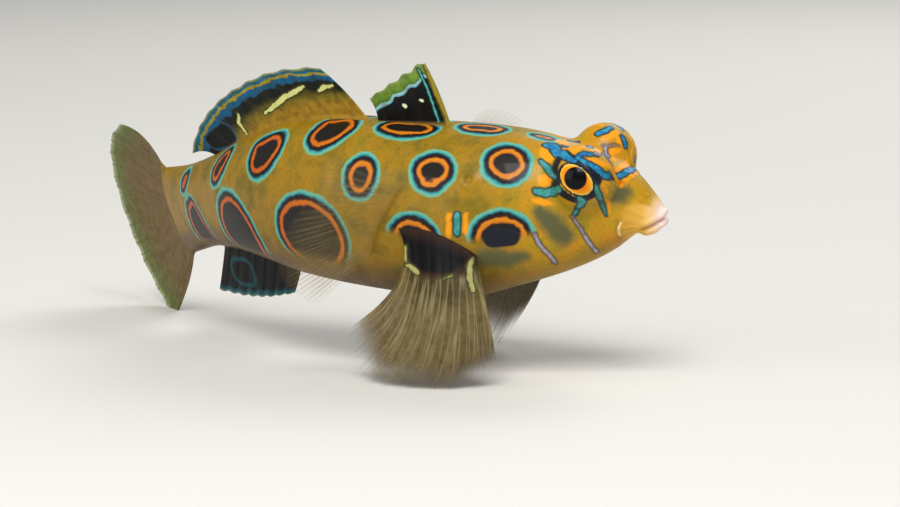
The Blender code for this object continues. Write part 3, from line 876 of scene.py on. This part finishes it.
def fin_mesh(
    name, shape, rays, columns, rows, marks=(), forks=(), scallop=0.02, ripple=0.05, cut=False
):
    """The middle sheet of a fin, from its root, tip and bow at each share of the way across.

    marks are a name, its looks and its strokes. A touch of a stroke has its shares across and
    out and its half width in millimetres.
    """
    root, tip, bow = shape

    def place(across, reach):
        start, end = root(across), tip(across)
        middle = (start + end) / 2 + bow(across)
        t = np.asarray(reach)[:, None]
        return start * (1 - t) ** 2 + middle * 2 * t * (1 - t) + end * t**2

    bm = bmesh.new()
    bmesh.ops.create_grid(bm, x_segments=columns, y_segments=rows, size=0.5)
    grid = np.array([vert.co[:2] for vert in bm.verts]) + 0.5
    across, out = grid[:, 0], grid[:, 1]
    near_ray = ray_nearness(across, out, rays, forks)
    swell = near_ray if forks else np.sin(pi * across * rays) ** 2
    points = place(across, out * (1 - scallop * (1 - swell)))
    outwards = tip(across) - root(across)
    length = np.linalg.norm(outwards, axis=-1)
    sideways = place(across + 0.02, out) - place(across - 0.02, out)
    face = unit(np.cross(outwards, sideways))
    wave = ripple * np.sin(across * rays * tau) * out
    points = points + face * wave[:, None]
    kept = {"across": across, "out": out, "near_ray": near_ray, "margin": (1 - out) * length}
    for key, values in kept.items():
        layer = bm.verts.layers.float.new(key)
        for vert, value in zip(bm.verts, values):
            vert[layer] = value
    for vert, point in zip(bm.verts, points):
        vert.co = Vector(point) * MM
    if cut:
        everything = bm.verts[:] + bm.edges[:] + bm.faces[:]
        floor_plane = {"plane_co": (0, 0, 0), "plane_no": (0, 0, -1)}
        bmesh.ops.bisect_plane(bm, geom=everything, clear_outer=True, **floor_plane)
    mesh = new_mesh(bm, name)
    for key, _, *strokes in marks:
        gaps = [stroke_distance(read_points(mesh), touches, place) for touches in strokes]
        write_values(mesh, key, np.min(gaps, axis=0))
    return mesh


def add_fin(name, mesh, finish, slot, node, ray_wall=0.22, flesh=0.12, root_wall=0.5):
    """A fin with its wall: ridges at the rays, thin skin between them, thick flesh at the root."""
    out, near_ray = out_and_ray(mesh)
    wall_mm = WEB_WALL + (ray_wall - WEB_WALL) * near_ray * (1 - 0.6 * out)
    wall_mm += root_wall * fall(out, 0, flesh)
    fin = add_piece(name, mesh, finish, slot, node)
    group = fin.vertex_groups.new(name="wall")
    for index, thickness in enumerate(wall_mm):
        group.add([index], float(min(thickness / FIN_WALL, 1)), "REPLACE")
    wall = fin.modifiers.new("wall", "SOLIDIFY")
    wall.thickness = FIN_WALL * MM
    wall.offset = 0
    wall.vertex_group = "wall"


# %% [markdown]
# The skin of a fin is a clear membrane with pigment in it. Its colour follows the distance
# from the free margin, so a colour ramp over that distance draws the bands that run round the
# fin, and blots and dashes are laid over them. How solid it is comes from the mesh as well:
# pigment hides what lies behind, and the clear fans let it through.

# %% A finish for fins


def fin_finish(name, bands, ray_tint, ray_share, marks=(), waver=0.25, root_tint="#8f6c20"):
    """Pigmented membrane.

    bands are millimetres from the margin and a colour. The looks of a mark are the colours of
    its edge and inside and how soft its edge is in millimetres.
    """
    finish, tree = new_finish(name)
    span = bands[-1][0]
    share = calc(tree, "DIVIDE", wavered(tree, "margin", 0.9, waver, 2), span)
    painted = ramp(tree, share, [(mm / span, tint) for mm, tint in bands])
    cloud = mask(tree, grain(tree, 0.7, 4, 0.6), 0.75, 0.35)
    dusky = paint(tree, painted, "#cbc1a4", cloud, "MULTIPLY")
    rays_on = calc(tree, "MULTIPLY", field(tree, "near_ray"), ray_share)
    painted = paint(tree, dusky, ray_tint, rays_on)
    for key, (edge, tint, soft), *_ in marks:
        distance = wavered(tree, key)
        painted = dab(tree, painted, edge, distance, 0.06 - soft, 0.18 + soft)
        painted = dab(tree, painted, tint, distance, -0.05 - soft, 0.03 + soft)
    painted = dab(tree, painted, root_tint, field(tree, "out"), 0.02, 0.12)
    clear = {"Alpha": field(tree, "solid"), "Specular__IOR__Level": 0.25}
    shade(tree, painted, Roughness=0.55, IOR=1.35, **clear)
    return finish


def line(start, end):
    """A straight run between two numbers, for each share of the way."""
    return lambda share: start + (end - start) * share


def steady(*way):
    """The same bow for every ray."""
    return lambda share: np.array(way)


# How far a fin's root is sunk into the skin, so that no slit shows between them
ROOT_DEPTH = 0.25


def on_back(base):
    """A fin's root line along the ridge of the back."""
    return lambda share: body_point(base(share), 0 * share, section(base(share))[0] - ROOT_DEPTH)


def under_skin(along, turn):
    """A point of a fin's root on the flank."""
    return skin_point(along, turn) - ROOT_DEPTH * skin_normal(along, turn)


# %% [markdown]
# The first dorsal fin is a short flag of four spines, black in the middle with two pale dots,
# a wide green hem behind and a mustard spine in front. As in every fin below, share runs from 0
# at the first ray to 1 at the last, and root, tip and bow are in millimetres.

# %% First dorsal fin
first_base = line(17.5, 24.0)


def first_tip(share):
    along_tip = first_base(share) + 1.55 - 1.35 * share
    return body_point(along_tip, 0 * share - 0.6, section(first_base(share))[0] + 5.7 - 3.6 * share)


first_shape = (on_back(first_base), first_tip, steady(0.3, 0.0, 0.2))
line_touches = ((0.14, 0.1, 0.1), (0.13, 0.6, 0.1), (0.12, 0.93, 0.08))
dots = ((0.28, 0.46, 0.2), (0.29, 0.47, 0.2)), ((0.54, 0.42, 0.2), (0.55, 0.43, 0.2))
first_marks = (
    ("front_line", ("#14202a", "#4fae9f", 0.0), line_touches),
    ("front_spine", ("#4f4a1c", "#978426", 0.0), ((0.0, 0.0, 0.22), (0.0, 1.0, 0.14))),
    ("dots", ("#14120f", "#e6efc0", 0.0), *dots),
)
first_grid = {"rays": 4, "columns": 64, "rows": 44}
mesh = fin_mesh("first_dorsal", first_shape, marks=first_marks, scallop=0.05, **first_grid)
write_values(mesh, "solid", 1.0 - 0.25 * rise(read_values(mesh, "out"), 0.8, 0.2))
FIRST_BANDS = (
    (0.0, "#7f9c35"), (0.7, "#6f9a34"), (1.0, "#4f7a34"), (1.1, "#9fcfcf"), (1.3, "#7fbcd0"),
    (1.4, "#16161c"), (2.6, "#0b0a0b"),
)
first_finish = fin_finish("flag_fin_membrane", FIRST_BANDS, "#3a3420", 0.12, first_marks)
add_fin("first_dorsal", mesh, first_finish, "dark_fin", "first_dorsal_fin")

# %% [markdown]
# The second dorsal fin is long and half folded, so its rays sweep back. Bands of teal-blue,
# olive-yellow and blue follow its margin over a dark zone with pale yellow dashes, and a black
# blot sits at its rear end.

# %% Second dorsal fin
second_base = line(24.8, 44.2)


def second_tip(share):
    along_tip = second_base(share) + 3.8 + 0.8 * share - 2.4 * share**2
    high = 4.6 + 0.9 * share - 3.4 * share**2 - 14.0 * np.maximum(share - 0.7, 0) ** 2
    return body_point(along_tip, -(0.6 + 0.6 * share**2), section(along_tip)[0] + high)


second_shape = (on_back(second_base), second_tip, steady(0.0, 0.0, 0.7))
dashes = (
    ((0.03, 0.6, 0.14), (0.08, 0.56, 0.24), (0.12, 0.5, 0.14)),
    ((0.17, 0.6, 0.13), (0.24, 0.52, 0.23), (0.32, 0.46, 0.24), (0.4, 0.37, 0.22), (0.49, 0.3, 0.12)),
    ((0.62, 0.5, 0.14), (0.67, 0.36, 0.21), (0.69, 0.1, 0.18)),
)
second_marks = (
    ("blot", ("#175f86", "#07090c", 0.12), ((0.8, 0.3, 1.15), (0.9, 0.45, 0.8))),
    ("dashes", ("#33380f", "#d3d384", 0.0), *dashes),
)
second_grid = {"rays": 9, "columns": 150, "rows": 44}
mesh = fin_mesh("second_dorsal", second_shape, marks=second_marks, scallop=0.03, **second_grid)
write_values(mesh, "solid", 1.0 - 0.5 * rise(read_values(mesh, "out"), 0.9, 0.1))
SECOND_BANDS = (
    (0.0, "#8a8f3a"), (0.16, "#5f7a2a"), (0.26, "#145f78"), (0.62, "#1a7088"),
    (0.72, "#a8982a"), (0.98, "#a8901e"), (1.08, "#12608a"), (1.75, "#105680"),
    (1.9, "#141a10"), (2.7, "#10120a"), (3.0, "#2c300c"), (3.8, "#7c6c1a"), (4.6, "#a07c1e"),
)
second_finish = fin_finish(
    "banded_fin_membrane", SECOND_BANDS, "#4a4426", 0.12, second_marks, waver=0.45
)
add_fin("second_dorsal", mesh, second_finish, "dark_fin", "second_dorsal_fin")

# %% [markdown]
# The anal fin hangs below the tail and is swept back like the fin above it: nearly black, with
# a teal rim and a black eye spot in a soft teal ring.

# %% Anal fin
anal_base = line(35.5, 48.5)


def anal_root(share):
    return body_point(anal_base(share), 0 * share, ROOT_DEPTH - section(anal_base(share))[1])


def anal_tip(share):
    along_tip = anal_base(share) + 3.2 + 1.6 * share
    deep = 3.0 + 0.8 * np.sin(pi * share) + 0.9 * share
    return body_point(along_tip, 0 * share, -section(anal_base(share))[1] - deep)


anal_shape = (anal_root, anal_tip, steady(0.0, 0.0, -0.5))
eye_spot_touches = ((0.66, 0.5, 1.15), (0.78, 0.5, 1.1))
anal_marks = (("eye_spot", ("#1c6a70", "#050608", 0.26), eye_spot_touches),)
anal_grid = {"rays": 8, "columns": 120, "rows": 36}
mesh = fin_mesh("anal", anal_shape, marks=anal_marks, scallop=0.03, **anal_grid)
write_values(mesh, "solid", 1.0 - 0.4 * rise(read_values(mesh, "out"), 0.92, 0.08))
ANAL_BANDS = (
    (0.0, "#4f7a4c"), (0.14, "#1f6a68"), (0.6, "#17505c"), (1.0, "#0a1014"), (2.5, "#08090c"),
)
anal_finish = fin_finish("black_fin_membrane", ANAL_BANDS, "#16282a", 0.25, anal_marks)
add_fin("anal", mesh, anal_finish, "dark_fin", "anal_fin")

# %% [markdown]
# The tail fin is a rounded fan. Its rays fork twice on their way out, its membrane is smoky
# and lets hardly any light through, and it shades to green and to a yellow-green edge. Its
# lower corner carries part of the weight, so it is cut flat at the floor.

# %% Tail fin
tail_centre, tail_left, tail_up = frame_at(STANDARD_LENGTH)
tail_back = -heading(np.array(STANDARD_LENGTH))
TAIL_BASE_HALF = 3.7
TAIL_SPREAD = radians(92)
UPPER_LEAN = radians(62)


def tail_root(share):
    return tail_centre + tail_up * (TAIL_BASE_HALF * (1 - 2 * share))[:, None]


def tail_tip(share):
    lean = UPPER_LEAN - (UPPER_LEAN + TAIL_SPREAD / 2) * share
    height = lean / TAIL_SPREAD
    length = TAIL_FIN_LENGTH * (0.82 + 0.14 * np.cos(lean * 2) + 0.08 * height)
    shorter = 1 - 1.6 * np.clip(height, 0, 0.5) ** 3 - 0.5 * np.maximum(height - 0.5, 0)
    length = length * shorter + 1.8
    hub = tail_centre - tail_back * 1.5
    curl = 1.1 - 6.0 * (height - 0.06) ** 2
    ways = tail_back * np.cos(lean)[:, None] + tail_up * np.sin(lean)[:, None]
    return hub + ways * length[:, None] + tail_left * curl[:, None]


def tail_bow(share):
    return tail_left * 0.9 + tail_up * 25.0 * np.maximum(0.25 - share, 0)[:, None] ** 2


tail_shape = (tail_root, tail_tip, tail_bow)
tail_grid = {"rays": 10, "columns": 200, "rows": 70, "forks": (0.3, 0.6)}
mesh = fin_mesh("caudal", tail_shape, scallop=0.006, cut=True, **tail_grid)
out, near_ray = out_and_ray(mesh)
write_values(mesh, "solid", 0.88 + 0.12 * near_ray - 0.4 * rise(out, 0.93, 0.07))
CAUDAL_BANDS = (
    (0.0, "#a3a444"), (0.3, "#7c8634"), (0.8, "#66783c"), (2.0, "#6f6c3c"), (3.6, "#766439"),
    (9.0, "#7b6038"), (15.0, "#86682a"),
)
caudal_finish = fin_finish("smoky_tail_membrane", CAUDAL_BANDS, "#5f5228", 0.4)
add_fin("caudal", mesh, caudal_finish, "clear_fin", "caudal_fin")

# %% [markdown]
# A pectoral fin is a clear fan of many fine rays on a fleshy base. Against the flank it is
# hardly more than a veil, so its skin is nearly transparent and only the rays catch light; their
# pale tint is partly their own colour and partly a painted highlight. It fades towards its first
# and last ray, so that no hard edge lies on the flank.

# %% Pectoral fins
pectoral_along = line(19.4, 22.4)
pectoral_angle = line(radians(56), radians(100))
PECTORAL_BANDS = ((0.0, "#8a7a55"), (0.5, "#a08a5c"), (4.0, "#a58e5e"), (10.0, "#b09a68"))
# The pale ray tint is partly the rays' own colour and partly a painted highlight
pectoral_finish = fin_finish(
    "clear_pectoral_membrane", PECTORAL_BANDS, "#bca66e", 0.8, root_tint="#a5801c"
)


def pectoral_shape(side):
    """Root, tip and bow of the pectoral fin on one side."""

    def root(share):
        return under_skin(pectoral_along(share), pectoral_angle(share) * side)

    def tip(share):
        if side < 0:
            back = 19.5 + 4.5 * share + 3.9 * np.sin(pi * share)
            sideways = 15.5 - 3.5 * share
            high = 9.3 - 13.9 * share - 2.6 * np.sin(pi * share)
        else:
            back = 16.6 + 14.0 * share - 4.6 * share**2
            sideways = 14.5 - 1.5 * share
            high = 1.9 + 10.0 * share - 14.4 * share**2
        return body_point(back, sideways * side, high)

    return root, tip, steady(0.0, side * 0.8, 0.0)


pectoral_grid = {"rays": 28, "columns": 280, "rows": 48}
for side, word in SIDES:
    name = "pectoral_" + word
    mesh = fin_mesh(name, pectoral_shape(side), scallop=0.01, **pectoral_grid)
    out, near_ray = out_and_ray(mesh)
    veil = (0.1 + 0.5 * near_ray * (1 - 0.4 * out)) * (1 - 0.7 * rise(out, 0.72, 0.28))
    flesh = 0.4 * fall(out, -0.02, 0.16)
    across = read_values(mesh, "across")
    ends = rise(np.minimum(across, 1 - across), 0, 0.1)
    write_values(mesh, "solid", np.maximum(veil, flesh) * (0.2 + 0.8 * ends))
    node, walls = "pectoral_fin_" + word, {"ray_wall": 0.16, "root_wall": 0.02}
    add_fin(name, mesh, pectoral_finish, "clear_fin", node, flesh=0.1, **walls)

# %% [markdown]
# The fish rests on its pelvic fins. Each is a broad fan set under the throat: black in a rusty
# brown near the body, with cream dashes where the black ends, and below that a smoky skin with
# faint rays that fork three times. The ray tips stand on the floor, so the fan is cut level
# with it.

# %% Pelvic fins
pelvic_along = line(13.7, 20.0)
PELVIC_BANDS = (
    (0.0, "#655536"), (3.0, "#6e5e3c"), (6.0, "#6a5c34"), (8.0, "#4c4120"), (12.0, "#3c3018"),
)


def pelvic_angle(share):
    """Radians round from the back where each ray of the pelvic fin springs."""
    return np.radians(92 - 10 * share - 6 * np.sin(pi * share))


def pelvic_shape(side):
    """Root, tip and bow of the pelvic fin on one side."""
    bow_front, bow_rear = (2.4, 2.4) if side > 0 else (1.0, 6.4)

    def root(share):
        return under_skin(pelvic_along(share), pelvic_angle(share) * side)

    def tip(share):
        along_tip = 11.0 + 12.2 * share + (5.5 if side > 0 else 0)
        point = body_point(along_tip, (8.5 + 3.0 * np.sin(pi * share)) * side, 0 * share)
        raised = 9.0 * np.maximum(0.25 - share, 0) + 20.0 * np.maximum(share - 0.8, 0)
        point[:, 2] = raised - 0.25
        return point

    def bow(share):
        out_way = skin_normal(pelvic_along(share), pelvic_angle(share) * side)
        ahead = line(bow_front, bow_rear)(share)
        bent = np.stack([ahead, 0 * share, 0 * share + 1.0], -1)
        return out_way * (5.0 if side > 0 else 3.0) + bent

    return root, tip, bow


patch = ((0.92, 0.08, 0.7), (0.75, 0.12, 1.3), (0.58, 0.15, 1.6), (0.42, 0.15, 1.4), (0.3, 0.11, 1.0))
rust = ((0.98, 0.08, 0.8), (0.75, 0.12, 1.5), (0.5, 0.16, 1.9), (0.3, 0.13, 1.6), (0.08, 0.06, 1.0))
rim = ((0.62, 0.015, 0.04), (0.35, 0.02, 0.06), (0.12, 0.04, 0.05))
cream = (
    ((0.05, 0.06, 0.12), (0.11, 0.14, 0.2), (0.13, 0.24, 0.22), (0.11, 0.33, 0.14)),
    ((0.43, 0.29, 0.05), (0.38, 0.27, 0.08), (0.32, 0.24, 0.05)),
    ((0.97, 0.34, 0.1), (0.9, 0.3, 0.14), (0.83, 0.29, 0.2), (0.78, 0.29, 0.16)),
    ((0.98, 0.18, 0.1), (0.99, 0.26, 0.15), (0.97, 0.31, 0.12)),
)
pelvic_marks = (
    ("rust", ("#40300f", "#2c1a0c", 0.4), rust),
    ("black_patch", ("#140a08", "#040305", 0.2), patch),
    ("dashes", ("#3f3d18", "#9d9a5e", 0.03), *cream),
    ("rim", ("#4a3622", "#b39a7c", 0.0), rim),
)
# The pale ray tint is partly the rays' own colour and partly a painted highlight
pelvic_finish = fin_finish(
    "smoky_pelvic_membrane", PELVIC_BANDS, "#a89b72", 0.36, pelvic_marks, root_tint="#2a1a10"
)
pelvic_grid = {"rays": 7, "columns": 340, "rows": 64, "forks": (0.15, 0.38, 0.6)}
for side, word in SIDES:
    name, shape = "pelvic_" + word, pelvic_shape(side)
    mesh = fin_mesh(name, shape, marks=pelvic_marks, ripple=0.1, cut=True, **pelvic_grid)
    out, near_ray = out_and_ray(mesh)
    smoky = 0.84 * fall(out, 0.8, 0.2) + 0.14 * near_ray * (1 - 0.6 * out)
    dark = fall(read_values(mesh, "rust"), 0, 1.2)
    write_values(mesh, "solid", np.maximum(smoky, dark))
    node = "pelvic_fin_" + word
    add_fin(name, mesh, pelvic_finish, "clear_fin", node, ray_wall=0.13, root_wall=0.2)

# %% [markdown]
# The fish is shown in a plain studio: a pale matt floor of paper, a large soft key light above
# the camera's right, a weaker fill light from its left, a back light that draws the far edge of
# the fish, and an even pale surround.

# %% Floor and light
FLOOR_HALF = 1.5
floor_bm = bmesh.new()
bmesh.ops.create_grid(floor_bm, x_segments=4, y_segments=4, size=FLOOR_HALF)
floor_mesh = new_mesh(floor_bm, "studio_floor")
floor = bpy.data.objects.new("studio_floor", floor_mesh)
bpy.context.scene.collection.objects.link(floor)
floor_finish, tree = new_finish("matt_studio_paper")
shade(tree, "#d9d6cf", Roughness=0.9)
floor_mesh.materials.append(floor_finish)

world = bpy.data.worlds.new("pale_surround")
bpy.context.scene.world = world
world.use_nodes = True
surround = world.node_tree.nodes["Background"].inputs
surround["Color"].default_value = colour("#dfe3e6")
surround["Strength"].default_value = 0.42


def add_light(name, place, aim, size, power):
    """A square soft light that points at a place."""
    lamp = bpy.data.lights.new(name, "AREA")
    lamp.size = size
    lamp.energy = power
    light = bpy.data.objects.new(name, lamp)
    light.location = place
    light.rotation_euler = (Vector(aim) - Vector(place)).to_track_quat("-Z", "Y").to_euler()
    bpy.context.scene.collection.objects.link(light)
    print(name, "of", power, "watts")


FISH_MIDDLE = (0.0, 0.0, 0.012)
add_light("key_light", (0.12, -0.3, 0.4), FISH_MIDDLE, size=0.26, power=2.4)
add_light("fill_light", (-0.3, -0.36, 0.14), FISH_MIDDLE, size=0.35, power=0.8)
add_light("back_light", (0.05, 0.4, 0.34), FISH_MIDDLE, size=0.3, power=1.1)

# %% [markdown]
# The camera looks at the fish's right side from a little in front and a little above, through
# a long lens, as one photographs a small fish through glass. Its place comes from where the
# snout stands in the picture and how large the fish is there.

# %% Camera
YAW, ELEVATION = radians(22), radians(7.5)
FOCAL_PIXELS = 3904
IMAGE_WIDTH = 900
SENSOR_MM = 36
CAMERA_PLACE = (0.13129, -0.29848, 0.05120)
camera_data = bpy.data.cameras.new("camera")
camera_data.sensor_width = SENSOR_MM
camera_data.lens = FOCAL_PIXELS * SENSOR_MM / IMAGE_WIDTH
camera_data.clip_start = 0.01
camera_data.dof.use_dof = False
camera = bpy.data.objects.new("camera", camera_data)
camera.location = CAMERA_PLACE
view_way = Vector((-sin(YAW) * cos(ELEVATION), cos(YAW) * cos(ELEVATION), -sin(ELEVATION)))
camera.rotation_euler = view_way.to_track_quat("-Z", "Y").to_euler()
bpy.context.scene.collection.objects.link(camera)
bpy.context.scene.camera = camera
bpy.context.scene.view_settings.view_transform = "Standard"
print("lens of", round(camera_data.lens), "mm,", round(camera.location.length, 2), "m away")
